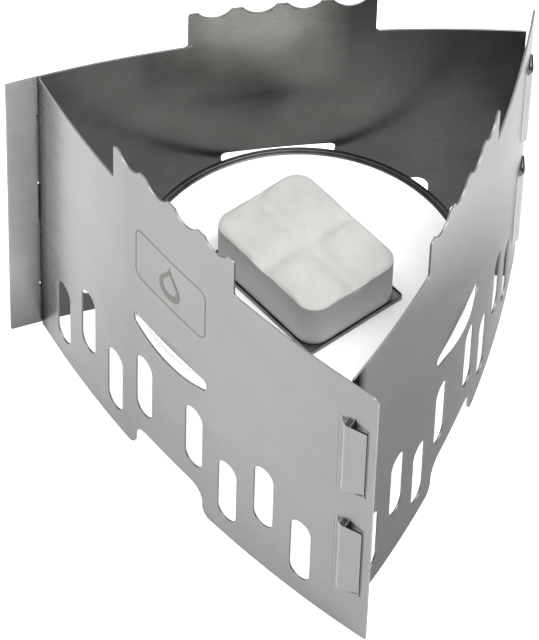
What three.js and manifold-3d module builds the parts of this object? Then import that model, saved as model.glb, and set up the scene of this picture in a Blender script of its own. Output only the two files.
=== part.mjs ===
// Solid-fuel tablet stove: three bowed sheet panels hooked into a triangle, a round plate held
// in slots half way up, and a small tray with a pressed fuel tablet. Millimetres, +Z up.
import * as THREE from 'three';
import * as BufferGeometryUtils from 'three/addons/utils/BufferGeometryUtils.js';
import Module from 'manifold-3d';

const wasm = await Module();
wasm.setup();

// ---- driving dimensions -------------------------------------------------------------------
const SIDE = 113;            // corner to corner, along the outer faces
const BOW = 5.6;             // how far each panel bulges outward
const SHEET = 0.5;           // sheet thickness
const PANEL_H = 84.5;        // foot to top edge
const FLANGE = 7.5;          // part of each panel past its corner

const TAB_HALF = 21.6;       // pot-support tab, half width
const TAB_RISE = 10.7;       // tab height over the top edge
const SCALLOP_PITCH = 10.3;
const SCALLOP_HALF = 3.8;
const SCALLOP_DEPTH = 2.2;
const SCALLOPS = 4;

const RECESS_HALF = 12.6;    // cut between the two feet of a panel
const RECESS_H = 8.4;
const RECESS_TOP_R = 4.4;
const RECESS_FOOT_R = 2.8;

const SLOT_W = 6.2;          // vent slots
const SLOT_FIRST = 9.2;
const SLOT_PITCH = 11.7;
const SLOT_HIGH = [14.5, 34.5];
const SLOT_LOW = [5.8, 25.8];

const SMILE_TOP = 47.4;      // crescent hole that takes the round plate
const SMILE_END = 44.2;
const SMILE_LOW = 40.9;
const SMILE_HALF = 13.4;
const SMILE_R = 1.3;

const HOOK_Z = [[13.1, 37.2], [48.2, 71.8]];   // the two pressed pockets on a flange
const RAMP_FOOT = -2.6;      // a pocket rises from here, measured from the corner
const RAMP_TOP = -0.55;
const RIDGE_OUT = 1.25;      // how far a pocket stands out over the corner
const LIP_OUT = 0.44;        // and at its free lip
const HOOK_LEN = 5.2;        // lip of a pocket, past the corner
const HOOK_GAP = 0.25;       // slit along the lip
const WEDGE = 1.4;           // mouth of a pocket, widest at the ridge
const WINDOW_LEFT = -2.0;    // hole behind a pocket, from here to past its lip
const END_BACK = 0.8;        // butt edge, back from the corner axis
const TONGUE_OUT = 0.65;     // plug-in tongue, past the corner axis
const TONGUE_SHORT = 0.7;    // tongue ends, inside the pocket ends
const RELIEF_R = 0.45;
const PLAIN_SLOT_HALF = 0.9; // the back panel's plain flange has narrow slots instead of pockets
const PLAIN_SLOT_SHORT = 0.2;

const PLATE_R = 39.3;
const PLATE_Z = 44.6;
const PLATE_T = 0.8;
const RIM_H = 0.8;
const RIM_W = 1.3;
const PLATE_SHIFT = -0.5;    // the plate has play in its crescents and lies toward the front

const TRAY_L = 37;
const TRAY_W = 27.6;
const TRAY_T = 0.6;
const TRAY_R = 0.9;
const TRAY_LIP = 0.5;        // low lip round the tray, and its width
const TRAY_LIP_W = 0.35;
const TABLET_L = 35.9;
const TABLET_W = 26.5;
const TABLET_H = 13;
const TABLET_R = 4.6;
const TABLET_EDGE = 1.1;     // rounding of the tablet's top and bottom edges
const VALLEY_R = 13;         // the two shallow valleys that part the tablet into four lobes
const VALLEY_DEPTH = 0.55;
const REST_GAP = 0.02;       // loose pieces lie this far above what carries them
const TRAY_SHIFT = [0.4, -1.2];   // tray and tablet, from the middle of the plate
const TRAY_TURN = -58.5;

// ---- panel plan: an arc through both corners -------------------------------------------------
const RADIUS = SIDE * SIDE / (8 * BOW) + BOW / 2;
const HALF_ANGLE = Math.asin(SIDE / 2 / RADIUS);
const HALF_LEN = RADIUS * HALF_ANGLE;
const CENTRE_Y = RADIUS - SIDE / (2 * Math.sqrt(3)) - BOW;
const MEET = Math.PI / 3 + 2 * HALF_ANGLE;     // angle between two panels at a corner
// Distance from the corner, along a panel, to the line where the middles of two sheets cross.
const AXIS_IN = SHEET / 2 * (1 + Math.cos(MEET)) / Math.sin(MEET);

// ---- solids -----------------------------------------------------------------------------------
function solid(geometry) {
  const g = geometry;
  g.deleteAttribute('normal');
  g.deleteAttribute('uv');
  const merged = BufferGeometryUtils.mergeVertices(g, 1e-4);
  return new wasm.Manifold(new wasm.Mesh({
    numProp: 3,
    vertProperties: new Float32Array(merged.attributes.position.array),
    triVerts: new Uint32Array(merged.index.array),
  }));
}

function mesh(name, manifold, material) {
  const data = manifold.getMesh();
  const g = new THREE.BufferGeometry();
  g.setAttribute('position', new THREE.BufferAttribute(new Float32Array(data.vertProperties), 3));
  g.setIndex(new THREE.BufferAttribute(new Uint32Array(data.triVerts), 1));
  g.computeVertexNormals();
  const m = new THREE.Mesh(g, material);
  m.name = name;
  return m;
}

// A plan shape (x, y) standing from z0 to z1.
function upright(shape, z0, z1, curveSegments = 24) {
  const g = new THREE.ExtrudeGeometry(shape, { depth: z1 - z0, bevelEnabled: false, curveSegments });
  return g.translate(0, 0, z0);
}

// A face shape (along the panel, height) as a cutter through the sheet at arc distance s.
function punch(shape, s = 0, curveSegments = 8) {
  const g = new THREE.ExtrudeGeometry(shape, { depth: 24, bevelEnabled: false, curveSegments });
  g.rotateX(Math.PI / 2).translate(0, 12, 0);
  return solid(toArc(g, s));
}

// Moves geometry drawn about (0, 0) so that x follows the panel and -y points outward at s.
function toArc(geometry, s) {
  const a = s / RADIUS;
  geometry.rotateZ(a);
  return geometry.translate(RADIUS * Math.sin(a), CENTRE_Y - RADIUS * Math.cos(a), 0);
}

// A curved strip between two distances from the outer face, from s0 to s1 and z0 to z1.
function strip(s0, s1, out0, out1, z0, z1) {
  const shape = new THREE.Shape();
  const a0 = s0 / RADIUS - Math.PI / 2;
  const a1 = s1 / RADIUS - Math.PI / 2;
  shape.absarc(0, CENTRE_Y, RADIUS + out1, a0, a1, false);
  shape.absarc(0, CENTRE_Y, RADIUS + out0, a1, a0, true);
  return solid(upright(shape, z0, z1, Math.max(4, Math.round((s1 - s0) / 3.6))));
}

function block(x0, x1, y0, y1, z0, z1) {
  const g = new THREE.BoxGeometry(x1 - x0, y1 - y0, z1 - z0);
  return g.translate((x0 + x1) / 2, (y0 + y1) / 2, (z0 + z1) / 2);
}

function roundedRect(w, h, r, target = new THREE.Shape()) {
  const x = w / 2, y = h / 2;
  target.absarc(x - r, y - r, r, 0, Math.PI / 2, false);
  target.absarc(r - x, y - r, r, Math.PI / 2, Math.PI, false);
  target.absarc(r - x, r - y, r, Math.PI, Math.PI * 1.5, false);
  target.absarc(x - r, r - y, r, Math.PI * 1.5, Math.PI * 2, false);
  return target;
}

// ---- what is cut from a panel -------------------------------------------------------------------
function ventSlot([low, high]) {
  const r = SLOT_W / 2;
  const shape = new THREE.Shape();
  shape.absarc(0, high - r, r, 0, Math.PI, false);
  shape.absarc(0, low + r, r, Math.PI, Math.PI * 2, false);
  return shape;
}

function smile() {
  const rise = SMILE_END - SMILE_LOW;
  const half = SMILE_HALF - 0.3;
  const r = (half * half + rise * rise) / (2 * rise);
  const a = Math.asin(half / r);
  const shape = new THREE.Shape();
  shape.absarc(-SMILE_HALF + SMILE_R, SMILE_TOP - SMILE_R, SMILE_R, Math.PI / 2, Math.PI, false);
  shape.absarc(0, SMILE_LOW + r, r, -Math.PI / 2 - a, -Math.PI / 2 + a, false);
  shape.absarc(SMILE_HALF - SMILE_R, SMILE_TOP - SMILE_R, SMILE_R, 0, Math.PI / 2, false);
  return shape;
}

function footRecess() {
  const f = RECESS_FOOT_R, t = RECESS_TOP_R, w = RECESS_HALF;
  const shape = new THREE.Shape();
  shape.moveTo(-w - f, -2);
  shape.lineTo(-w - f, 0);
  shape.absarc(-w - f, f, f, -Math.PI / 2, 0, false);
  shape.absarc(t - w, RECESS_H - t, t, Math.PI, Math.PI / 2, true);
  shape.absarc(w - t, RECESS_H - t, t, Math.PI / 2, 0, true);
  shape.absarc(w + f, f, f, Math.PI, Math.PI * 1.5, false);
  shape.lineTo(w + f, -2);
  return shape;
}

// Everything above the panel's top edge except the scalloped tab.
function overTop() {
  const top = PANEL_H, peak = PANEL_H + TAB_RISE, high = peak + 3, r = 0.9;
  const sr = (SCALLOP_HALF ** 2 + SCALLOP_DEPTH ** 2) / (2 * SCALLOP_DEPTH);
  const sa = Math.asin(SCALLOP_HALF / sr);
  const shape = new THREE.Shape();
  shape.moveTo(-80, high);
  shape.lineTo(-80, top);
  shape.lineTo(-TAB_HALF - r, top);
  shape.absarc(-TAB_HALF - r, top + r, r, -Math.PI / 2, 0, false);
  shape.absarc(-TAB_HALF + r, peak - r, r, Math.PI, Math.PI / 2, true);
  for (let i = 0; i < SCALLOPS; i++) {
    const x = (i - (SCALLOPS - 1) / 2) * SCALLOP_PITCH;
    shape.absarc(x, peak - SCALLOP_DEPTH + sr, sr, -Math.PI / 2 - sa, -Math.PI / 2 + sa, false);
  }
  shape.absarc(TAB_HALF - r, peak - r, r, Math.PI / 2, 0, true);
  shape.absarc(TAB_HALF + r, top + r, r, Math.PI, Math.PI * 1.5, false);
  shape.lineTo(80, top);
  shape.lineTo(80, high);
  return shape;
}

// ---- pressed pocket, drawn with u along the flange from the corner and w outward ---------------
function pocketSheet() {
  const shape = new THREE.Shape();
  shape.moveTo(RAMP_FOOT - 0.4, -0.16);
  shape.quadraticCurveTo(RAMP_FOOT - 0.1, -0.02, RAMP_FOOT + 0.3, 0.18);
  shape.lineTo(RAMP_TOP, RIDGE_OUT - 0.09);
  shape.quadraticCurveTo(0.3, RIDGE_OUT + 0.1, 1.3, RIDGE_OUT - 0.1);
  shape.lineTo(HOOK_LEN, LIP_OUT);
  shape.lineTo(HOOK_LEN, LIP_OUT - SHEET);
  shape.lineTo(1.2, RIDGE_OUT - 0.1 - SHEET);
  shape.quadraticCurveTo(0.3, RIDGE_OUT + 0.02 - SHEET, RAMP_TOP + 0.25, RIDGE_OUT - 0.05 - SHEET);
  shape.lineTo(WINDOW_LEFT - 0.1, -0.42);
  shape.lineTo(RAMP_FOOT - 0.4, -0.3);
  return shape;
}

// The wall that closes a pocket's end: all of it below, only the ramp side above.
function pocketEnd(full) {
  const shape = new THREE.Shape();
  shape.moveTo(RAMP_FOOT - 0.2, -0.3);
  shape.lineTo(RAMP_FOOT - 0.1, -0.12);
  shape.lineTo(RAMP_TOP, RIDGE_OUT - 0.2);
  shape.lineTo(0.75, RIDGE_OUT - 0.12);
  if (full) {
    shape.lineTo(HOOK_LEN - 0.1, LIP_OUT - 0.1);
    shape.lineTo(HOOK_LEN + 0.6, -0.12);
    shape.lineTo(HOOK_LEN + 0.6, -0.3);
  } else {
    shape.lineTo(0.75, -0.3);
  }
  return shape;
}

// The hole in the flange behind a pocket, with its mouth widening toward the ridge.
function pocketWindow(z0, z1) {
  const end = HOOK_LEN + HOOK_GAP;
  const shape = new THREE.Shape();
  shape.moveTo(0.1, z0 + 0.3);
  shape.lineTo(end, z0 + 0.3);
  shape.lineTo(end, z1 + 0.1);
  shape.lineTo(1.1, z1 + WEDGE);
  shape.lineTo(0.95, z1 + WEDGE - 0.1);
  shape.lineTo(0.95, z1 - 0.25);
  shape.lineTo(0.1, z1 - 0.25);
  return shape;
}

function mirrored(shape, z0, z1) {
  // Outward is -y at the corner, so the drawing is flipped and its faces turned back.
  const g = upright(shape, z0, z1, 10);
  g.scale(1, -1, 1);
  const p = g.attributes.position;
  for (let i = 0; i < p.count; i += 3) {
    const x = p.getX(i), y = p.getY(i), z = p.getZ(i);
    p.setXYZ(i, p.getX(i + 1), p.getY(i + 1), p.getZ(i + 1));
    p.setXYZ(i + 1, x, y, z);
  }
  return solid(toArc(g, HALF_LEN));
}

// ---- one panel ------------------------------------------------------------------------------------
function panel({ marked = false, plain = false } = {}) {
  const butt = -HALF_LEN + AXIS_IN + END_BACK;
  const tip = -HALF_LEN + AXIS_IN - TONGUE_OUT;
  let body = strip(tip, HALF_LEN + FLANGE, -SHEET, 0, 0, PANEL_H + TAB_RISE);
  const cuts = [punch(overTop()), punch(footRecess()), punch(smile(), 0, 16)];

  for (const side of [-1, 1]) {
    for (let i = 0; i < 4; i++) {
      const s = side * (SLOT_FIRST + i * SLOT_PITCH);
      cuts.push(punch(ventSlot(i % 2 ? SLOT_LOW : SLOT_HIGH), s));
    }
  }

  // Butt edge between and beside the plug-in tongues, with a small relief at each root.
  const spans = [[-1, HOOK_Z[0][0] + TONGUE_SHORT], [HOOK_Z[0][1] - TONGUE_SHORT,
    HOOK_Z[1][0] + TONGUE_SHORT], [HOOK_Z[1][1] - TONGUE_SHORT, PANEL_H + 1]];
  for (const [z0, z1] of spans) {
    cuts.push(solid(toArc(block(-4, 0, -3, 3, z0, z1), butt)));
  }
  for (const z of spans.flat().slice(1, 5)) {
    const relief = new THREE.CylinderGeometry(RELIEF_R, RELIEF_R, 6, 16).translate(0, 0, z);
    cuts.push(solid(toArc(relief, butt)));
  }

  // Rounded outer corner of a flange that has pockets.
  const corner = new THREE.Shape();
  corner.moveTo(1, 1);
  corner.lineTo(-1.6, 1);
  corner.lineTo(-1.6, 0);
  corner.absarc(-1.6, -1.6, 1.6, Math.PI / 2, 0, true);
  corner.lineTo(1, 0);
  const cornerCut = new THREE.ExtrudeGeometry(corner, { depth: 8, bevelEnabled: false, curveSegments: 8 });
  cornerCut.rotateX(Math.PI / 2).translate(0, 4, PANEL_H);
  if (!plain) cuts.push(solid(toArc(cornerCut, HALF_LEN + FLANGE)));

  for (const [z0, z1] of HOOK_Z) {
    if (plain) {
      const low = z0 + PLAIN_SLOT_SHORT, high = z1 - PLAIN_SLOT_SHORT;
      const slot = block(-PLAIN_SLOT_HALF, PLAIN_SLOT_HALF, -3, 3, low, high);
      cuts.push(solid(toArc(slot, HALF_LEN - AXIS_IN)));
    } else {
      // Windows left where the pockets are pressed out.
      cuts.push(solid(toArc(block(WINDOW_LEFT, HOOK_LEN - 0.1, -3, 3, z0 + 0.42, z1 - 0.42), HALF_LEN)));
      cuts.push(punch(pocketWindow(z0, z1), HALF_LEN));
    }
  }
  for (const cut of cuts) body = body.subtract(cut);

  for (const [z0, z1] of plain ? [] : HOOK_Z) {
    body = body.add(mirrored(pocketSheet(), z0 + 0.15, z1 - 0.3));
    body = body.add(mirrored(pocketEnd(true), z0 - 0.1, z0 + 0.52));
    body = body.add(mirrored(pocketEnd(false), z1 - 0.58, z1 + 0.1));
  }
  if (marked) for (const groove of markGrooves()) body = body.subtract(groove);
  return body.simplify(0.003);
}

// ---- etched mark: a plain frame with a drop-shaped flame -------------------------------------------
function markGrooves() {
  const MARK_Z = 68.8, MARK_W = 25.4, MARK_H = 16, LINE = 0.36, DEPTH = 0.12;
  const skin = strip(-20, 20, -DEPTH, 3, MARK_Z - 14, MARK_Z + 14);
  const frame = roundedRect(MARK_W, MARK_H, 2.4);
  frame.holes.push(roundedRect(MARK_W - 2 * LINE, MARK_H - 2 * LINE, 2.4 - LINE, new THREE.Path()));
  const flame = (k, target) => {
    target.moveTo(0, 5.6 * k);
    target.bezierCurveTo(0.6 * k, 2.6 * k, 3.9 * k, 1.2 * k, 3.7 * k, -1.8 * k);
    target.bezierCurveTo(3.5 * k, -4.2 * k, 1.9 * k, -5.2 * k, 0, -5.2 * k);
    target.bezierCurveTo(-1.9 * k, -5.2 * k, -3.5 * k, -4.2 * k, -3.7 * k, -1.8 * k);
    target.bezierCurveTo(-3.9 * k, 1.2 * k, -0.6 * k, 2.6 * k, 0, 5.6 * k);
    return target;
  };
  const outline = (k) => flame(k, new THREE.Shape()).getPoints(8).slice(0, -1);
  const outer = new THREE.Shape(outline(1));
  outer.holes.push(new THREE.Path(outline(0.62).reverse()));
  return [frame, outer].map((shape) => {
    const g = new THREE.ExtrudeGeometry(shape, { depth: 24, bevelEnabled: false, curveSegments: 6 });
    g.rotateX(Math.PI / 2).translate(0, 12, MARK_Z);
    return solid(toArc(g, 0)).intersect(skin);
  });
}

// ---- plate, tray and tablet --------------------------------------------------------------------------
function roundPlate() {
  const lip = PLATE_Z + PLATE_T + RIM_H, floor = PLATE_Z + PLATE_T;
  const outline = [[0, PLATE_Z], [PLATE_R - 0.25, PLATE_Z], [PLATE_R, PLATE_Z + 0.25],
    [PLATE_R, lip - 0.3], [PLATE_R - 0.12, lip - 0.08], [PLATE_R - 0.35, lip],
    [PLATE_R - RIM_W + 0.3, lip], [PLATE_R - RIM_W + 0.08, lip - 0.08],
    [PLATE_R - RIM_W - 0.1, lip - 0.35], [PLATE_R - RIM_W - 0.5, floor + 0.12],
    [PLATE_R - RIM_W - 1, floor], [0, floor]];
  return solid(new THREE.LatheGeometry(outline.map(([x, y]) => new THREE.Vector2(x, y)), 112)
    .rotateX(Math.PI / 2).translate(0, PLATE_SHIFT, 0));
}

function tray() {
  const z = PLATE_Z + PLATE_T + REST_GAP;
  const outer = roundedRect(TRAY_L, TRAY_W, TRAY_R);
  const inner = roundedRect(TRAY_L - 2 * TRAY_LIP_W, TRAY_W - 2 * TRAY_LIP_W, TRAY_R - TRAY_LIP_W);
  const body = solid(upright(outer, z, z + TRAY_T + TRAY_LIP, 5));
  return body.subtract(solid(upright(inner, z + TRAY_T, z + TRAY_T + TRAY_LIP + 1, 5)));
}

function tablet() {
  const z = PLATE_Z + PLATE_T + TRAY_T + 2 * REST_GAP;
  const edge = TABLET_EDGE;
  const outline = roundedRect(TABLET_L - 2 * edge, TABLET_W - 2 * edge, TABLET_R - edge);
  const g = new THREE.ExtrudeGeometry(outline, { depth: TABLET_H - 2 * edge, bevelEnabled: true,
    bevelThickness: edge, bevelSize: edge, bevelSegments: 4, curveSegments: 8 });
  const roller = () => new THREE.CylinderGeometry(VALLEY_R, VALLEY_R, 60, 64);
  const top = z + TABLET_H + VALLEY_R - VALLEY_DEPTH;
  return solid(g.translate(0, 0, z + edge))
    .subtract(solid(roller().translate(0, 0, top)))
    .subtract(solid(roller().rotateZ(Math.PI / 2).translate(0, 0, top)));
}

// ---- assembly -----------------------------------------------------------------------------------------
const steel = (name, color) => Object.assign(
  new THREE.MeshStandardMaterial({ color, metalness: 0.9, roughness: 0.35 }), { name });
const panelSteel = steel('panel_steel', 0xb9bbbc);
const plateFinish = Object.assign(
  new THREE.MeshStandardMaterial({ color: 0xf2f2f0, metalness: 0, roughness: 0.3 }), { name: 'plate_enamel' });
const traySteel = steel('tray_steel', 0x5c5d5e);
const fuel = Object.assign(
  new THREE.MeshStandardMaterial({ color: 0xdcdde0, metalness: 0, roughness: 0.85 }), { name: 'fuel_tablet' });

const degrees = Math.PI / 180;
const parts = [
  mesh('panel_front_left', panel({ marked: true }).rotate([0, 0, -60]), panelSteel),
  mesh('panel_right', panel().rotate([0, 0, 60]), panelSteel),
  mesh('panel_back', panel({ plain: true }).rotate([0, 0, 180]), panelSteel),
  mesh('round_plate', roundPlate(), plateFinish),
  mesh('fuel_tray', tray(), traySteel),
  mesh('fuel_tablet', tablet(), fuel),
];
for (const part of parts.slice(4)) {
  part.geometry.rotateZ(TRAY_TURN * degrees).translate(TRAY_SHIFT[0], TRAY_SHIFT[1], 0);
}

const stove = new THREE.Group();
stove.name = 'tablet_stove';
for (const part of parts) stove.add(part);

// Put the origin at the bottom centre of the whole part.
const bounds = new THREE.Box3().setFromObject(stove);
const middle = bounds.getCenter(new THREE.Vector3());
for (const part of parts) part.geometry.translate(-middle.x, -middle.y, -bounds.min.z);

export default stove;
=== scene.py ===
import math
import random

import bmesh
import bpy
import numpy as np
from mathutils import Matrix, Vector

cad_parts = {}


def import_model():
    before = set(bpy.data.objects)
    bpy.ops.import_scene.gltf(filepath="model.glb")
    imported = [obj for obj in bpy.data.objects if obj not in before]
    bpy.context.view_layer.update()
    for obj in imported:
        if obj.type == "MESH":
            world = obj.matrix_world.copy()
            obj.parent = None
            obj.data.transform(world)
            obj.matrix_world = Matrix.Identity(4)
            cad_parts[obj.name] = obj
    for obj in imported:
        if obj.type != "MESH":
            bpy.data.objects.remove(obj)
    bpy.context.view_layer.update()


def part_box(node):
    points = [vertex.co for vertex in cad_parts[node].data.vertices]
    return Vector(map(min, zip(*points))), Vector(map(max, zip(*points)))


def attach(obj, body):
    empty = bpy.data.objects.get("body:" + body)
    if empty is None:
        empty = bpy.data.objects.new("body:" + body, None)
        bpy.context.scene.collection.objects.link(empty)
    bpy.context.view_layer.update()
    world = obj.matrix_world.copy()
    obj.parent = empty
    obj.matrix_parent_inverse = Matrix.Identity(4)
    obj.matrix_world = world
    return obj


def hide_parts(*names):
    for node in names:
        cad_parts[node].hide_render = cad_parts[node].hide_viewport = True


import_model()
MM = 0.001
FRONT_TURN, RIGHT_TURN, BACK_TURN = -60, 60, 180     # where each panel faces, in degrees
UV_SCALE, UV_MIDDLE = 0.01, 1     # sheet coordinates: x runs through 1 at the panel's middle

# ---- dimensions shared with the CAD part, in millimetres -----------------------------------------
SIDE, BOW, SHEET, PANEL_H, FLANGE = 113.0, 5.6, 0.5, 84.5, 7.5
TAB_HALF, TAB_RISE = 21.6, 10.7
SCALLOPS, SCALLOP_PITCH, SCALLOP_HALF, SCALLOP_DEPTH = 4, 10.3, 3.8, 2.2
RECESS_HALF, RECESS_H, RECESS_TOP_R, RECESS_FOOT_R = 12.6, 8.4, 4.4, 2.8
SLOT_W, SLOT_FIRST, SLOT_PITCH = 6.2, 9.2, 11.7
SLOT_HIGH, SLOT_LOW = (14.5, 34.5), (5.8, 25.8)
SMILE_TOP, SMILE_END, SMILE_LOW, SMILE_HALF, SMILE_R = 47.4, 44.2, 40.9, 13.4, 1.3
HOOK_Z = ((13.1, 37.2), (48.2, 71.8))
RAMP_FOOT, RAMP_TOP, RIDGE_OUT, LIP_OUT = -2.6, -0.55, 1.25, 0.44
HOOK_LEN, HOOK_GAP, WEDGE = 5.2, 0.25, 1.4
END_BACK, TONGUE_OUT, TONGUE_SHORT, RELIEF_R = 0.8, 0.65, 0.7, 0.45
PLAIN_SLOT_HALF, PLAIN_SLOT_SHORT = 0.9, 0.2
PLAIN_SLOT_NARROW = 0.42     # the drawn slot is this much narrower than the CAD's, so it reads dark
MARK_Z, MARK_W, MARK_H, MARK_LINE = 68.8, 25.4, 16.0, 0.36
MARK_R, MARK_THICK, MARK_EASE, MARK_PROUD = 2.4, 0.06, 0.01, 0.004
PLATE_SHIFT = -0.5
TRAY_SHIFT, TRAY_TURN = (0.4, -1.2), -58.5
TRAY_R, TRAY_T, TRAY_LIP, TRAY_LIP_W = 0.9, 0.6, 0.5, 0.35
TRAY_L, TRAY_W = 37.0, 27.6
TABLET_L, TABLET_W, TABLET_R = 35.9, 26.5, 4.6

RADIUS = SIDE * SIDE / (8 * BOW) + BOW / 2
HALF_ANGLE = math.asin(SIDE / 2 / RADIUS)
HALF_LEN = RADIUS * HALF_ANGLE
CENTRE_Y = RADIUS - SIDE / (2 * math.sqrt(3)) - BOW
MEET = math.pi / 3 + 2 * HALF_ANGLE
AXIS_IN = SHEET / 2 * (1 + math.cos(MEET)) / math.sin(MEET)

plate_low, plate_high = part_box("round_plate")
PLATE_CENTRE = Vector(((plate_low.x + plate_high.x) / 2, (plate_low.y + plate_high.y) / 2, 0)) / MM
CENTRE = PLATE_CENTRE - Vector((0, PLATE_SHIFT, 0))


# ---- outlines on the flat sheet: x along the panel, y up -----------------------------------------
def arc(cx, cy, r, start, end, steps):
    return [(cx + r * math.cos(start + (end - start) * i / steps),
             cy + r * math.sin(start + (end - start) * i / steps)) for i in range(steps + 1)]


def panel_outline(plain):
    pi, half = math.pi, math.pi / 2
    butt = -HALF_LEN + AXIS_IN + END_BACK
    tip = -HALF_LEN + AXIS_IN - TONGUE_OUT
    end = HALF_LEN + FLANGE
    w, f, t = RECESS_HALF, RECESS_FOOT_R, RECESS_TOP_R
    points = [(butt, 0)]
    points += arc(-w - f, f, f, -half, 0, 8)
    points += arc(t - w, RECESS_H - t, t, pi, half, 10)
    points += arc(w - t, RECESS_H - t, t, half, 0, 10)
    points += arc(w + f, f, f, pi, 1.5 * pi, 8)
    points += arc(end - 0.5, 0.5, 0.5, -half, 0, 3)
    corner = 0.3 if plain else 1.6
    points += arc(end - corner, PANEL_H - corner, corner, 0, half, 8)
    peak, r = PANEL_H + TAB_RISE, 0.9
    points += arc(TAB_HALF + r, PANEL_H + r, r, 1.5 * pi, pi, 6)
    points += arc(TAB_HALF - r, peak - r, r, 0, half, 6)
    sr = (SCALLOP_HALF ** 2 + SCALLOP_DEPTH ** 2) / (2 * SCALLOP_DEPTH)
    sa = math.asin(SCALLOP_HALF / sr)
    for i in reversed(range(SCALLOPS)):
        x = (i - (SCALLOPS - 1) / 2) * SCALLOP_PITCH
        points += arc(x, peak - SCALLOP_DEPTH + sr, sr, -half + sa, -half - sa, 12)
    points += arc(-TAB_HALF + r, peak - r, r, half, pi, 6)
    points += arc(-TAB_HALF - r, PANEL_H + r, r, 0, -half, 6)
    points.append((butt, PANEL_H))
    for low, high in reversed(HOOK_Z):
        low, high = low + TONGUE_SHORT, high - TONGUE_SHORT
        points += arc(butt, high, RELIEF_R, half, -pi, 12)
        points += arc(tip + 0.4, high - 0.4, 0.4, half, pi, 3)
        points += arc(tip + 0.4, low + 0.4, 0.4, pi, 1.5 * pi, 3)
        points += arc(butt, low, RELIEF_R, pi, -half, 12)
    return points


def vent_slot(s, low, high):
    r = SLOT_W / 2
    return arc(s, high - r, r, 0, math.pi, 14) + arc(s, low + r, r, math.pi, 2 * math.pi, 14)


def smile():
    half, rise = SMILE_HALF - 0.3, SMILE_END - SMILE_LOW
    r = (half * half + rise * rise) / (2 * rise)
    a = math.asin(half / r)
    points = arc(SMILE_HALF - SMILE_R, SMILE_TOP - SMILE_R, SMILE_R, 0, math.pi / 2, 7)
    points += arc(-SMILE_HALF + SMILE_R, SMILE_TOP - SMILE_R, SMILE_R, math.pi / 2, math.pi, 7)
    return points + arc(0, SMILE_LOW + r, r, -math.pi / 2 - a, -math.pi / 2 + a, 28)


def pocket_slit(low, high):
    """The cut that frees a pocket's lip: a mouth widest at the ridge, then a slit down the lip."""
    lip, far = HALF_LEN + HOOK_LEN, HALF_LEN + HOOK_LEN + HOOK_GAP
    ridge, mouth = HALF_LEN + 0.95, high + WEDGE
    return ([(ridge, high - 0.1), (ridge + 0.2, high - 0.3), (lip - 0.3, high - 0.3)]
            + arc(lip - 0.3, high - 0.6, 0.3, math.pi / 2, 0, 4)[1:]
            + [(lip, low + 1.2)]
            + arc(lip + HOOK_GAP / 2, low + 1.1, HOOK_GAP / 2, math.pi, 2 * math.pi, 4)
            + [(far, high - 0.2), (far - 0.1, high + 0.08)]
            + arc(ridge + 0.35, mouth - 0.3, 0.3, 1.1, math.pi, 5))


def plain_slot(low, high):
    x0 = HALF_LEN - AXIS_IN - PLAIN_SLOT_HALF
    x1 = HALF_LEN - AXIS_IN + PLAIN_SLOT_HALF - PLAIN_SLOT_NARROW
    return [(x1, low), (x1, high), (x0, high), (x0, low)]


def panel_holes(plain):
    cut = plain_slot if plain else pocket_slit
    ease = PLAIN_SLOT_SHORT if plain else 0.0
    holes = [smile()] + [cut(low + ease, high - ease) for low, high in HOOK_Z]
    for side in (-1, 1):
        for i in range(4):
            low, high = SLOT_LOW if i % 2 else SLOT_HIGH
            holes.append(vent_slot(side * (SLOT_FIRST + i * SLOT_PITCH), low, high))
    return holes


def cut_sheet(outlines, thickness, edge):
    """A flat plate cut to these outlines, with its edges eased, as a bmesh in millimetres."""
    curve = bpy.data.curves.new("cut", "CURVE")
    curve.dimensions, curve.fill_mode = "2D", "BOTH"
    curve.extrude, curve.bevel_depth, curve.bevel_resolution = thickness / 2 - edge, edge, 1
    curve.offset = -edge
    for outline in outlines:
        spline = curve.splines.new("POLY")
        spline.points.add(len(outline) - 1)
        for point, (x, y) in zip(spline.points, outline):
            point.co = (x, y, 0, 1)
        spline.use_cyclic_u = True
    holder = bpy.data.objects.new("cut", curve)
    bpy.context.scene.collection.objects.link(holder)
    graph = bpy.context.evaluated_depsgraph_get()
    mesh = bpy.data.meshes.new_from_object(holder.evaluated_get(graph))
    bm = bmesh.new()
    bm.from_mesh(mesh)
    bpy.data.objects.remove(holder)
    bpy.data.curves.remove(curve)
    bpy.data.meshes.remove(mesh)
    bmesh.ops.remove_doubles(bm, verts=bm.verts, dist=1e-4)
    return bm


def slice_at(bm, axis, values, keep=None):
    """Adds a row of edges at each value along an axis, only near faces that keep() accepts."""
    normal = (1, 0, 0) if axis == 0 else (0, 1, 0)
    for value in values:
        faces = [f for f in bm.faces if keep is None or keep(f.calc_center_median())]
        edges = {e for f in faces for e in f.edges}
        corners = {v for f in faces for v in f.verts}
        geometry = faces + list(edges) + list(corners)
        co = (value, 0, 0) if axis == 0 else (0, value, 0)
        bmesh.ops.bisect_plane(bm, geom=geometry, dist=1e-5, plane_co=co, plane_no=normal)


# ---- pressed pockets: how far the sheet is pushed outward ----------------------------------------
def smooth(x):
    x = min(1.0, max(0.0, x))
    return x * x * (3 - 2 * x)


def pocket_height(u):
    """How far the sheet stands out over the flange, u along the flange from the corner."""
    knots = (RAMP_FOOT, RAMP_TOP, 0.3, 1.3, HOOK_LEN, HOOK_LEN + 1.0)
    slope = (RIDGE_OUT - 0.1 - LIP_OUT) / (HOOK_LEN - 1.3)
    out = (0.0, RIDGE_OUT - 0.07, RIDGE_OUT, RIDGE_OUT - 0.1, LIP_OUT, LIP_OUT - slope)
    return sum(float(np.interp(u + shift, knots, out)) for shift in (-0.24, -0.12, 0.0, 0.12, 0.24)) / 5


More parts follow.
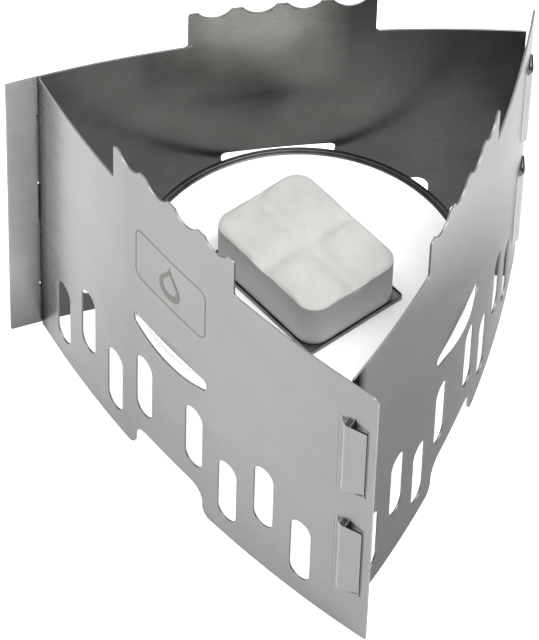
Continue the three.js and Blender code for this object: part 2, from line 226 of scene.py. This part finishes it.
def pocket_push(s, z, plain):
    u = s - HALF_LEN
    if plain or not RAMP_FOOT - 0.3 < u < HOOK_LEN + 0.06:
        return 0.0
    for low, high in HOOK_Z:
        if low - 0.5 < z < high + 0.9:
            lean = max(0.0, min(1.0, (u - 0.9) / (HOOK_LEN - 0.9)))
            foot = smooth((z - low + 0.1 - 1.2 * lean) / (0.7 + 1.6 * lean))
            if u < 0.94:
                head = smooth((high + 0.45 - z) / 0.75)
            else:
                head = 1.0 if z < high - 0.2 else 0.0
            return pocket_height(u) * foot * head
    return 0.0


def bend(bm, turn, outward=0.0, plain=False):
    """Rolls the flat sheet (x, y, thickness) to the panel's arc and turns it to its side."""
    uv = bm.loops.layers.uv.new("sheet")
    for face in bm.faces:
        for loop in face.loops:
            loop[uv].uv = (loop.vert.co.x * UV_SCALE + UV_MIDDLE, loop.vert.co.y * UV_SCALE)
    c, sn = math.cos(turn), math.sin(turn)
    for v in bm.verts:
        s, z, w = v.co
        r = RADIUS + w - SHEET / 2 + pocket_push(s, z, plain) + outward
        x, y = r * math.sin(s / RADIUS), CENTRE_Y - r * math.cos(s / RADIUS)
        v.co = ((x * c - y * sn + CENTRE.x) * MM, (x * sn + y * c + CENTRE.y) * MM, z * MM)


def finish_piece(name, bm, materials, body, replaced=(), sharp=35, weighted=True):
    bmesh.ops.recalc_face_normals(bm, faces=bm.faces)
    mesh = bpy.data.meshes.new(name)
    for face in bm.faces:
        face.smooth = True
    bm.to_mesh(mesh)
    bm.free()
    piece = bpy.data.objects.new(name, mesh)
    bpy.context.scene.collection.objects.link(piece)
    for material in materials:
        mesh.materials.append(material)
    mesh.set_sharp_from_angle(angle=math.radians(sharp))
    if weighted:
        modifier = piece.modifiers.new("even_normals", "WEIGHTED_NORMAL")
        modifier.weight, modifier.keep_sharp = 90, True
    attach(piece, body)
    if replaced:
        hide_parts(*replaced)
    return piece


# ---- materials -----------------------------------------------------------------------------------
def new_material(name, color, metallic, roughness, **sockets):
    material = bpy.data.materials.new(name)
    material.use_nodes = True
    nodes = material.node_tree.nodes
    shader = nodes["Principled BSDF"]
    shader.inputs["Base Color"].default_value = (*color, 1)
    shader.inputs["Metallic"].default_value = metallic
    shader.inputs["Roughness"].default_value = roughness
    for key, value in sockets.items():
        shader.inputs[key.replace("_", " ")].default_value = value
    return material, nodes, material.node_tree.links, shader


def grey(value):
    return (value, value, value)


def coordinates(nodes, links, kind, scale):
    """Scaled texture coordinates: the sheet's own (s, z) or the object's."""
    mapping = nodes.new("ShaderNodeMapping")
    mapping.inputs["Scale"].default_value = scale
    if kind == "sheet":
        links.new(sheet_place(nodes), mapping.inputs["Vector"])
    else:
        source = nodes.new("ShaderNodeTexCoord")
        links.new(source.outputs["Object"], mapping.inputs["Vector"])
    return mapping.outputs["Vector"]


def noise(nodes, links, vector, scale, detail, rough=0.55):
    node = nodes.new("ShaderNodeTexNoise")
    node.inputs["Scale"].default_value = scale
    node.inputs["Detail"].default_value = detail
    node.inputs["Roughness"].default_value = rough
    links.new(vector, node.inputs["Vector"])
    return node.outputs["Fac"]


def spread(nodes, links, value, low, high, from_low=0.3, from_high=0.7):
    node = nodes.new("ShaderNodeMapRange")
    for key, number in (("From Min", from_low), ("From Max", from_high), ("To Min", low), ("To Max", high)):
        node.inputs[key].default_value = number
    links.new(value, node.inputs["Value"])
    return node.outputs["Result"]


def ramp(nodes, links, value, stops):
    node = nodes.new("ShaderNodeValToRGB")
    while len(node.color_ramp.elements) < len(stops):
        node.color_ramp.elements.new(0.5)
    for element, (position, color) in zip(node.color_ramp.elements, stops):
        element.position, element.color = position, (*color, 1)
    links.new(value, node.inputs["Fac"])
    return node.outputs["Color"]


def bump(nodes, links, shader, height, distance, strength=1.0):
    node = nodes.new("ShaderNodeBump")
    node.inputs["Distance"].default_value = distance
    node.inputs["Strength"].default_value = strength
    links.new(height, node.inputs["Height"])
    links.new(node.outputs["Normal"], shader.inputs["Normal"])


def multiply(nodes, links, color, by):
    mix = nodes.new("ShaderNodeMix")
    mix.data_type, mix.blend_type = "RGBA", "MULTIPLY"
    mix.inputs["Factor"].default_value = 1.0
    links.new(color, mix.inputs["A"])
    links.new(by, mix.inputs["B"])
    return mix.outputs["Result"]


def combine(nodes, links, operation, first, second):
    node = nodes.new("ShaderNodeMath")
    node.operation = operation
    links.new(first, node.inputs[0])
    links.new(second, node.inputs[1])
    return node.outputs[0]


def sheet_place(nodes):
    place = nodes.new("ShaderNodeUVMap")
    place.uv_map = "sheet"
    return place.outputs["UV"]


def sheet_split(nodes, links):
    """The sheet's x and y coordinates, each on its own."""
    split = nodes.new("ShaderNodeSeparateXYZ")
    links.new(sheet_place(nodes), split.inputs[0])
    return split.outputs["X"], split.outputs["Y"]


def painted_tab_reflection(nodes, links, color, reflection_gain):
    """A painted reflection: a lighter patch on the pot tab's inner face, standing for the lit tablet mirrored
    there.
    """
    along, up = sheet_split(nodes, links)
    amount = spread(nodes, links, up, 0.0, 1.0, 0.66, 0.86)
    for start, end in ((0.84, 0.99), (1.30, 1.15)):
        amount = combine(nodes, links, "MULTIPLY", amount, spread(nodes, links, along, 0.0, 1.0, start, end))
    mix = nodes.new("ShaderNodeMix")
    mix.data_type, mix.blend_type = "RGBA", "MULTIPLY"
    links.new(amount, mix.inputs["Factor"])
    links.new(color, mix.inputs["A"])
    mix.inputs["B"].default_value = (*grey(reflection_gain), 1)
    return mix.outputs["Result"]


def sheet_steel(name, dark, light, rough, shade=None, corner=None, edge_tint=1.0, tab_reflection=0.0):
    """Satin rolled sheet. shade is a direction on the sheet and the tone along it, a painted shade; corner is
    where the painted shadow at the plug-in end stops, in sheet coordinates from that end; tab_reflection
    sets a painted reflection on the pot tab."""
    material, nodes, links, shader = new_material(name, light, 1.0, rough)
    shader.inputs["Specular Tint"].default_value = (*grey(edge_tint), 1)
    grain = noise(nodes, links, coordinates(nodes, links, "sheet", (6, 420, 1)), 4.0, 4, 0.6)
    cloud = noise(nodes, links, coordinates(nodes, links, "sheet", (3.2, 4.0, 1)), 2.2, 3)
    fine = noise(nodes, links, coordinates(nodes, links, "sheet", (220, 220, 1)), 3.0, 2)
    color = ramp(nodes, links, cloud, ((0.3, dark), (0.7, light)))
    # Painted shade: the tone is multiplied by a ramp along a direction on the sheet.
    if shade:
        along = nodes.new("ShaderNodeVectorMath")
        along.operation = "DOT_PRODUCT"
        direction, stops = shade
        along.inputs[1].default_value = (*direction, 0)
        links.new(sheet_place(nodes), along.inputs[0])
        color = multiply(nodes, links, color, ramp(nodes, links, along.outputs["Value"], stops))
    # Painted reflection on the pot tab.
    if tab_reflection:
        color = painted_tab_reflection(nodes, links, color, tab_reflection)
    # Painted shadow: darker towards the plug-in end, where the next panel's flange shades the sheet.
    if corner:
        end = UV_MIDDLE - HALF_LEN * UV_SCALE
        plug_in_shadow_mask = spread(nodes, links, sheet_split(nodes, links)[0], 0.0, 1.0, end + corner[0], end + corner[1])
        painted_plug_in_shadow = ramp(nodes, links, plug_in_shadow_mask, ((0.0, grey(0.07)), (1.0, grey(1.0))))
        color = multiply(nodes, links, color, painted_plug_in_shadow)
    links.new(color, shader.inputs["Base Color"])
    streaks = spread(nodes, links, grain, -0.008, 0.008)
    clouds = spread(nodes, links, cloud, rough - 0.015, rough + 0.02)
    links.new(combine(nodes, links, "ADD", streaks, clouds), shader.inputs["Roughness"])
    bump(nodes, links, shader, combine(nodes, links, "ADD", grain, fine), 0.0000008, 0.5)
    return material


TINT = 0.55     # how much of the mirror-like gloss is left at a glancing angle
# Lit and shaded copies of one satin steel, one for each panel's outside, each with its own tone and a painted
# shade ramp along the sheet: the front panel darker towards its flanged end, the right panel darker towards
# its foot and plug-in end, the back panel darker towards the bottom. All three carry a painted shadow at the
# plug-in end.
front_steel = sheet_steel("front_satin_steel_painted_shade", (0.395, 0.395, 0.391), (0.42, 0.42, 0.42), 0.27,
                          ((0.5, 0), ((0.225, grey(1.0)), (0.325, grey(0.84)), (0.425, grey(0.63)),
                                      (0.65, grey(0.57)), (0.8, grey(0.5)))), (0.005, 0.05), TINT)
right_steel = sheet_steel("right_satin_steel_painted_shade", (0.455, 0.455, 0.455), (0.48, 0.48, 0.485), 0.27,
                          ((0.42, 0.6), ((0.3, grey(0.35)), (0.62, grey(0.37)), (0.78, grey(0.40)),
                                         (0.95, grey(0.93)))), (0.03, 0.065), 0.4)
back_steel = sheet_steel("back_satin_steel_painted_shade", (0.275, 0.275, 0.271), (0.295, 0.295, 0.295), 0.27,
                         ((0, 1), ((0.0, grey(0.5)), (0.1, grey(0.68)), (0.22, grey(0.98)),
                                   (0.84, grey(1.0)))),
                         (0.005, 0.05), TINT)
# The inside faces are a painted shade, far darker than the outside steel, standing for the dim inside of the
# stove. The back panel's inside also carries a painted reflection on its pot tab.
back_inner = sheet_steel("back_inside_painted_shade", (0.071, 0.0715, 0.0675), (0.09, 0.0905, 0.086), 0.27,
                         tab_reflection=5.4)
side_inner = sheet_steel("side_inside_painted_shade", (0.09, 0.09, 0.0855), (0.113, 0.113, 0.108), 0.3)
edge_steel = sheet_steel("panel_cut_edge", (0.20, 0.20, 0.197), (0.25, 0.25, 0.247), 0.5)
# Painted shadow lines along a pocket's creases.
crease_shadow_steel = sheet_steel("pocket_crease_painted_shadow", (0.09, 0.09, 0.088), (0.11, 0.11, 0.108), 0.35)
# The pocket's ridge and ramp facet are lit and shaded copies of the steel: a painted shade on the ridge and a
# painted highlight on the facet.
ridge_steel = sheet_steel("pocket_ridge_painted_shade", (0.165, 0.165, 0.16), (0.185, 0.185, 0.18), 0.3)
facet_steel = sheet_steel("pocket_facet_painted_highlight", (0.215, 0.215, 0.21), (0.235, 0.235, 0.235), 0.25)
# Near-black cut walls by the pockets, slots and plug-in ends: a painted shadow standing for the dark gaps.
slit_shadow_steel = sheet_steel("panel_slit_painted_shadow", (0.04, 0.04, 0.04), (0.07, 0.07, 0.068), 0.45)


def etched_material():
    material, nodes, links, shader = new_material("etched_mark", (0.13, 0.122, 0.11), 0.75, 0.5)
    fine = noise(nodes, links, coordinates(nodes, links, "sheet", (200, 200, 1)), 3.0, 3)
    links.new(ramp(nodes, links, fine, ((0.35, (0.1, 0.095, 0.085)), (0.65, (0.145, 0.138, 0.125)))),
              shader.inputs["Base Color"])
    bump(nodes, links, shader, fine, 0.000008)
    return material


# ---- panels --------------------------------------------------------------------------------------
OUTER, INNER, EDGE, SLIT, CREASE, RIDGE, FACET = range(7)
RIDGE_SPAN = (-0.35, 0.9)
SHEET_EASE = 0.07


def near_pocket(point):
    beside = HALF_LEN + RAMP_FOOT - 0.5 < point.x < HALF_LEN + HOOK_LEN + 0.05
    return beside and any(low - 0.6 < point.y < high + 1.9 for low, high in HOOK_Z)


def pressed_zone(u, z):
    """Which finish the outside has here: painted shadow lines at a pocket's creases, the ramp's facet with
    its painted highlight, the ridge with its painted shade, and the slit's painted shadow along the ridge's
    top.
    """
    for low, high in HOOK_Z:
        if not low - 0.1 < z < high + 0.5:
            continue
        if RAMP_FOOT - 0.25 < u < RAMP_FOOT + 0.02:
            return CREASE
        if RAMP_FOOT < u < RIDGE_SPAN[0]:
            return CREASE if z < low + 0.25 or z > high + 0.25 else FACET
        if RIDGE_SPAN[0] <= u < RIDGE_SPAN[1]:
            return SLIT if z > high - 0.3 else RIDGE
    return OUTER


def flat_panel(plain):
    """One panel before rolling, sliced finely enough to follow the arc and the pockets."""
    bm = cut_sheet([panel_outline(plain)] + panel_holes(plain), SHEET, SHEET_EASE)
    slice_at(bm, 0, [i * 2.0 for i in range(-29, 33)])
    slice_at(bm, 1, [i * 6.0 + 0.13 for i in range(1, 15)])
    if not plain:
        slice_at(bm, 0, [HALF_LEN + RAMP_FOOT - 0.4 + i * 0.2 for i in range(40)], near_pocket)
        for low, high in HOOK_Z:
            rows = [low - 0.2 + i * 0.2 for i in range(17)] + [high - 0.5 + i * 0.16 for i in range(8)]
            slice_at(bm, 1, rows, near_pocket)
    for face in bm.faces:
        s, z = face.calc_center_median()[:2]
        # Cut walls by the pockets and at the plug-in end get the slit's painted shadow.
        if abs(face.normal.z) < 0.9:
            start, end = HALF_LEN + (-1.3 if plain else 0.5), HALF_LEN + HOOK_LEN + HOOK_GAP + 0.1
            by_pocket = start < s < end and 1 < z < PANEL_H - 2
            plug_in_end = s < -HALF_LEN + 1.2
            face.material_index = SLIT if by_pocket or plug_in_end else EDGE
        elif face.normal.z > 0:
            face.material_index = OUTER if plain else pressed_zone(s - HALF_LEN, z)
        else:
            face.material_index = INNER if -HALF_LEN < s < HALF_LEN - 0.2 else OUTER
    return bm


def panel_piece(name, turn_degrees, body, node, outer, inner, plain=False):
    bm = flat_panel(plain)
    bend(bm, math.radians(turn_degrees), plain=plain)
    finishes = [outer, inner, edge_steel, slit_shadow_steel, crease_shadow_steel, ridge_steel, facet_steel]
    piece = finish_piece(name, bm, finishes, body, [node])
    return piece


panel_piece("front_left_sheet", FRONT_TURN, "front_left_panel", "panel_front_left", front_steel, side_inner)
panel_piece("right_sheet", RIGHT_TURN, "right_panel", "panel_right", right_steel, side_inner)
panel_piece("back_sheet", BACK_TURN, "back_panel", "panel_back", back_steel, back_inner, plain=True)


# ---- etched mark: a plain frame with a drop-shaped flame -----------------------------------------
def rounded_rect(w, h, r, cy=0.0, steps=5):
    points = []
    for i, (x, y) in enumerate(((1, 1), (-1, 1), (-1, -1), (1, -1))):
        start, end = i * math.pi / 2, (i + 1) * math.pi / 2
        points += arc(x * (w / 2 - r), cy + y * (h / 2 - r), r, start, end, steps)
    return points


def bezier(p0, p1, p2, p3, steps=10):
    out = []
    for i in range(steps):
        t = i / steps
        a, b, c, d = (1 - t) ** 3, 3 * t * (1 - t) ** 2, 3 * t * t * (1 - t), t ** 3
        out.append(tuple(a * p0[k] + b * p1[k] + c * p2[k] + d * p3[k] for k in (0, 1)))
    return out


def flame(k):
    curves = (((0, 5.6), (0.6, 2.6), (3.9, 1.2), (3.7, -1.8)),
              ((3.7, -1.8), (3.5, -4.2), (1.9, -5.2), (0, -5.2)),
              ((0, -5.2), (-1.9, -5.2), (-3.5, -4.2), (-3.7, -1.8)),
              ((-3.7, -1.8), (-3.9, 1.2), (-0.6, 2.6), (0, 5.6)))
    return [(x * k, MARK_Z + y * k) for curve in curves for x, y in bezier(*curve)]


def mark_piece(name, outlines):
    bm = cut_sheet(outlines, MARK_THICK, MARK_EASE)
    slice_at(bm, 0, [i * 1.0 for i in range(-13, 14)])
    bend(bm, math.radians(FRONT_TURN), outward=SHEET / 2 + MARK_PROUD)
    piece = finish_piece(name, bm, [etched], "front_left_panel")
    return piece


etched = etched_material()
mark_piece("mark_frame", [rounded_rect(MARK_W, MARK_H, MARK_R, MARK_Z),
                          rounded_rect(MARK_W - 2 * MARK_LINE, MARK_H - 2 * MARK_LINE,
                                       MARK_R - MARK_LINE, MARK_Z)])
mark_piece("mark_flame", [flame(1.0), flame(0.62)])


# ---- round plate ---------------------------------------------------------------------------------
def lathe(name, profile, segments, materials, zones, body, node):
    bm = bmesh.new()
    rings = []
    for r, z in profile:
        if r < 1e-9:
            rings.append([bm.verts.new((PLATE_CENTRE.x * MM, PLATE_CENTRE.y * MM, z * MM))])
            continue
        rings.append([bm.verts.new(((PLATE_CENTRE.x + r * math.cos(2 * math.pi * i / segments)) * MM,
                                    (PLATE_CENTRE.y + r * math.sin(2 * math.pi * i / segments)) * MM, z * MM))
                      for i in range(segments)])
    for k in range(len(rings) - 1):
        a, b = rings[k], rings[k + 1]
        for i in range(segments):
            j = (i + 1) % segments
            if len(a) == 1:
                face = bm.faces.new((a[0], b[j], b[i]))
            elif len(b) == 1:
                face = bm.faces.new((a[i], a[j], b[0]))
            else:
                face = bm.faces.new((a[i], a[j], b[j], b[i]))
            face.material_index = zones(k, 360 * (i + 0.5) / segments)
    piece = finish_piece(name, bm, materials, body, [node], sharp=50)
    return piece


def enamel_material():
    material, nodes, links, shader = new_material("white_enamel", (0.9, 0.9, 0.9), 0.0, 0.32,
                                                  Specular_IOR_Level=0.4)
    cloud = noise(nodes, links, coordinates(nodes, links, "object", (40, 40, 40)), 1.4, 3)
    peel = noise(nodes, links, coordinates(nodes, links, "object", (900, 900, 900)), 1.0, 2)
    links.new(ramp(nodes, links, cloud, ((0.3, (0.92, 0.92, 0.915)), (0.7, (0.96, 0.96, 0.955)))),
              shader.inputs["Base Color"])
    links.new(spread(nodes, links, cloud, 0.28, 0.36), shader.inputs["Roughness"])
    bump(nodes, links, shader, peel, 0.000012, 0.5)
    return material


def dark_steel(name, dark, light, rough):
    material, nodes, links, shader = new_material(name, light, 1.0, rough)
    cloud = noise(nodes, links, coordinates(nodes, links, "object", (120, 120, 120)), 1.5, 4)
    fine = noise(nodes, links, coordinates(nodes, links, "object", (2600, 2600, 2600)), 1.0, 2)
    links.new(ramp(nodes, links, cloud, ((0.32, dark), (0.68, light))), shader.inputs["Base Color"])
    links.new(spread(nodes, links, cloud, rough - 0.06, rough + 0.08), shader.inputs["Roughness"])
    bump(nodes, links, shader, fine, 0.000008, 0.6)
    return material


enamel = enamel_material()
rim_steel = dark_steel("plate_rim_steel", (0.05, 0.05, 0.05), (0.08, 0.08, 0.078), 0.4)
R, Z0, FLOOR, LIP, RIM_W = 39.3, 44.6, 45.4, 46.2, 1.3
IN = R - RIM_W
plate_profile = [(0, FLOOR), (12, FLOOR), (26, FLOOR), (34, FLOOR), (IN - 1.0, FLOOR),
                 (IN - 0.6, FLOOR + 0.05), (IN - 0.3, FLOOR + 0.2), (IN - 0.12, FLOOR + 0.42),
                 (IN - 0.02, LIP - 0.26), (IN + 0.1, LIP - 0.09), (IN + 0.28, LIP - 0.01),
                 (R - 0.42, LIP), (R - 0.2, LIP - 0.06), (R - 0.06, LIP - 0.2), (R, LIP - 0.4),
                 (R, Z0 + 0.3), (R - 0.08, Z0 + 0.09), (R - 0.3, Z0), (34, Z0), (20, Z0), (0, Z0)]


def plate_zone(row, degrees):
    """Bare dark rim, except inside the two front crescents, where the enamel runs over it."""
    covered = abs(degrees - 210) < 25 or abs(degrees - 330) < 25
    return 1 if 5 <= row <= 12 and not covered else 0


lathe("plate_dish", plate_profile, 192, [enamel, rim_steel], plate_zone, "front_left_panel", "round_plate")


# ---- tray ----------------------------------------------------------------------------------------
def turned(bm):
    """From the tray's own axes to its place on the plate."""
    c, s = math.cos(math.radians(TRAY_TURN)), math.sin(math.radians(TRAY_TURN))
    for v in bm.verts:
        x, y, z = v.co
        v.co = ((x * c - y * s + TRAY_SHIFT[0] + CENTRE.x) * MM,
                (x * s + y * c + TRAY_SHIFT[1] + CENTRE.y) * MM, z * MM)


def tray_piece():
    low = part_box("fuel_tray")[0].z / MM
    top, ease = TRAY_T + TRAY_LIP, 0.1
    loops = []
    bm = bmesh.new()
    stack = ((ease, 0.0), (0.0, ease), (0.0, top - ease), (ease, top), (TRAY_LIP_W - ease, top),
             (TRAY_LIP_W, top - ease), (TRAY_LIP_W, TRAY_T + ease), (TRAY_LIP_W + ease, TRAY_T))
    for inset, z in stack:
        ring = rounded_rect(TRAY_L - 2 * inset, TRAY_W - 2 * inset, TRAY_R - inset, steps=6)
        loops.append([bm.verts.new((x, y, low + z)) for x, y in ring])
    for a, b in zip(loops, loops[1:]):
        for i in range(len(a)):
            j = (i + 1) % len(a)
            bm.faces.new((a[i], a[j], b[j], b[i]))
    bm.faces.new(list(reversed(loops[0])))
    bm.faces.new(loops[-1])
    turned(bm)
    piece = finish_piece("tray_pan", bm, [tray_steel], "tray", ["fuel_tray"], sharp=45)
    return piece


tray_steel = dark_steel("tray_dark_steel", (0.13, 0.13, 0.13), (0.22, 0.22, 0.218), 0.38)
tray_piece()


# ---- fuel tablet: pressed, with four soft lobes --------------------------------------------------
def fuel_material():
    material, nodes, links, shader = new_material("pressed_fuel", (0.8, 0.8, 0.8), 0.0, 0.62,
                                                  Subsurface_Weight=0.12, Subsurface_Scale=0.002)
    shader.inputs["Subsurface Radius"].default_value = (1.0, 0.95, 0.85)
    cloud = noise(nodes, links, coordinates(nodes, links, "object", (160, 160, 160)), 1.0, 4)
    grain = noise(nodes, links, coordinates(nodes, links, "object", (1500, 1500, 1500)), 1.0, 3, 0.7)
    # Painted light: the tablet is lighter towards +x and lower down, as if lit from that side; the colour is
    # multiplied by a ramp along a fixed direction in the tablet's own coordinates.
    place = nodes.new("ShaderNodeTexCoord")
    along = nodes.new("ShaderNodeVectorMath")
    along.operation = "DOT_PRODUCT"
    along.inputs[1].default_value = (14, 0, -35)
    links.new(place.outputs["Object"], along.inputs[0])
    shade = spread(nodes, links, along.outputs["Value"], 0.0, 1.0, -2.3, -1.3)
    color = ramp(nodes, links, cloud, ((0.3, (0.495, 0.495, 0.48)), (0.7, (0.56, 0.56, 0.545))))
    tone = ramp(nodes, links, shade, ((0.0, grey(0.72)), (0.55, grey(0.76)),
                                      (0.8, grey(0.9)), (1.0, grey(1.0))))
    links.new(multiply(nodes, links, color, tone), shader.inputs["Base Color"])
    links.new(spread(nodes, links, cloud, 0.55, 0.72), shader.inputs["Roughness"])
    bump(nodes, links, shader, grain, 0.00005, 0.7)
    return material


def tablet_piece():
    low, high = (v.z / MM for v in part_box("fuel_tablet"))
    edge, bottom_edge, height = 1.1, 0.7, high - low
    rng = random.Random(7)
    waves = [(rng.uniform(0.5, 1.3), rng.uniform(0.5, 1.3), rng.uniform(0, 6.28)) for _ in range(6)]

    def outline(inset, count):
        corner = max(0.6, TABLET_R - inset)
        ring = rounded_rect(TABLET_L - 2 * inset, TABLET_W - 2 * inset, corner, steps=8)
        closed = np.array(ring + ring[:1])
        steps = np.r_[0, np.cumsum(np.hypot(*np.diff(closed, axis=0).T))]
        at = np.linspace(0, steps[-1], count, endpoint=False)
        return np.c_[np.interp(at, steps, closed[:, 0]), np.interp(at, steps, closed[:, 1])]

    def lobes(x, y):
        along, across = math.exp(-(x / 2.3) ** 2), math.exp(-(y / 2.3) ** 2)
        valley = 1.1 * (along + across - along * across)
        crown = 0.45 * (abs(x) / (TABLET_L / 2)) ** 4 + 0.45 * (abs(y) / (TABLET_W / 2)) ** 4
        ripple = sum(0.035 * math.sin(a * x + b * y + c) for a, b, c in waves)
        return -valley - crown + ripple

    count = 176
    bm = bmesh.new()
    rows = []
    for k in range(5):
        a = k / 4 * math.pi / 2
        rows.append((bottom_edge * (1 - math.sin(a)), low + bottom_edge * (1 - math.cos(a)), False))
    for k in range(1, 6):
        rows.append((0.0, low + bottom_edge + (height - bottom_edge - edge) * k / 6, False))
    for k in range(7):
        a = k / 6 * math.pi / 2
        rows.append((edge * (1 - math.cos(a)), high - edge * (1 - math.sin(a)), True))
    for k in range(1, 15):
        rows.append((edge + k * 0.82, high, True))
    rings = []
    for inset, z, top in rows:
        ring = []
        for x, y in outline(inset, count):
            drop = lobes(x, y) * smooth((z - high + edge) / edge) if top else 0.0
            ring.append(bm.verts.new((x, y, z + drop)))
        rings.append(ring)
    for a, b in zip(rings, rings[1:]):
        for i in range(count):
            j = (i + 1) % count
            bm.faces.new((a[i], a[j], b[j], b[i]))
    bm.faces.new(list(reversed(rings[0])))
    bm.faces.new(rings[-1])
    bmesh.ops.triangulate(bm, faces=[f for f in bm.faces if len(f.verts) > 4])
    turned(bm)
    piece = finish_piece("tablet_block", bm, [fuel_material()], "tablet", ["fuel_tablet"], sharp=80,
                         weighted=False)
    return piece


tablet_piece()


# ---- floor, light and camera ---------------------------------------------------------------------
def floor():
    material, nodes, links, shader = new_material("floor_white", (0.86, 0.86, 0.86), 0.0, 0.6)
    shader.inputs["Emission Color"].default_value = (1, 1, 1, 1)
    shader.inputs["Emission Strength"].default_value = 0.7
    bpy.ops.mesh.primitive_plane_add(size=8, location=(0, 0, 0))
    plane = bpy.context.object
    plane.name = "floor"
    plane.data.materials.append(material)


def area_light(name, place, target, size, power):
    data = bpy.data.lights.new(name, "AREA")
    data.shape, data.size, data.size_y = "RECTANGLE", *size
    data.energy = power
    light = bpy.data.objects.new(name, data)
    light.location = place
    light.rotation_euler = (Vector(target) - Vector(place)).to_track_quat("-Z", "Y").to_euler()
    bpy.context.scene.collection.objects.link(light)


def world():
    scene = bpy.context.scene
    scene.world = bpy.data.worlds.new("studio")
    scene.world.use_nodes = True
    background = scene.world.node_tree.nodes["Background"]
    background.inputs["Color"].default_value = (1, 1, 1, 1)
    background.inputs["Strength"].default_value = 0.8
    scene.view_settings.view_transform = "Standard"
    scene.view_settings.look = "None"


SENSOR, FOCAL_RATIO, FAR = 36, 5335.2 / 640, 20     # focal length is given in sensor widths
CAMERA_TURN = (0.16875, 0.86416, 0.03223)           # azimuth, downward tilt and roll, in radians
CAMERA_PLACE = (-1.24378, -6.92977, 8.50581)        # from the stove's centre, in panel sides


def camera():
    data = bpy.data.cameras.new("photo_view")
    data.sensor_width = SENSOR
    data.lens = SENSOR * FOCAL_RATIO
    data.clip_end = FAR
    view = bpy.data.objects.new("photo_view", data)
    azimuth, down, roll = CAMERA_TURN
    forward = Vector((math.sin(azimuth) * math.cos(down),
                      math.cos(azimuth) * math.cos(down),
                      -math.sin(down)))
    level = Vector((math.cos(azimuth), -math.sin(azimuth), 0))
    above = level.cross(forward)
    right = math.cos(roll) * level + math.sin(roll) * above
    up = -math.sin(roll) * level + math.cos(roll) * above
    place = Vector(CAMERA_PLACE) * SIDE * MM + CENTRE * MM
    for i in range(3):
        view.matrix_world[i][0], view.matrix_world[i][1] = right[i], up[i]
        view.matrix_world[i][2], view.matrix_world[i][3] = -forward[i], place[i]
    bpy.context.scene.collection.objects.link(view)
    bpy.context.scene.camera = view


floor()
world()
area_light("top_box", (-0.1, 0.1, 1.3), (0, 0, 0.04), (0.9, 0.9), 8)
area_light("key_box", (0.36, -0.42, 1.2), (0, 0, 0.04), (0.5, 0.5), 14)
camera()
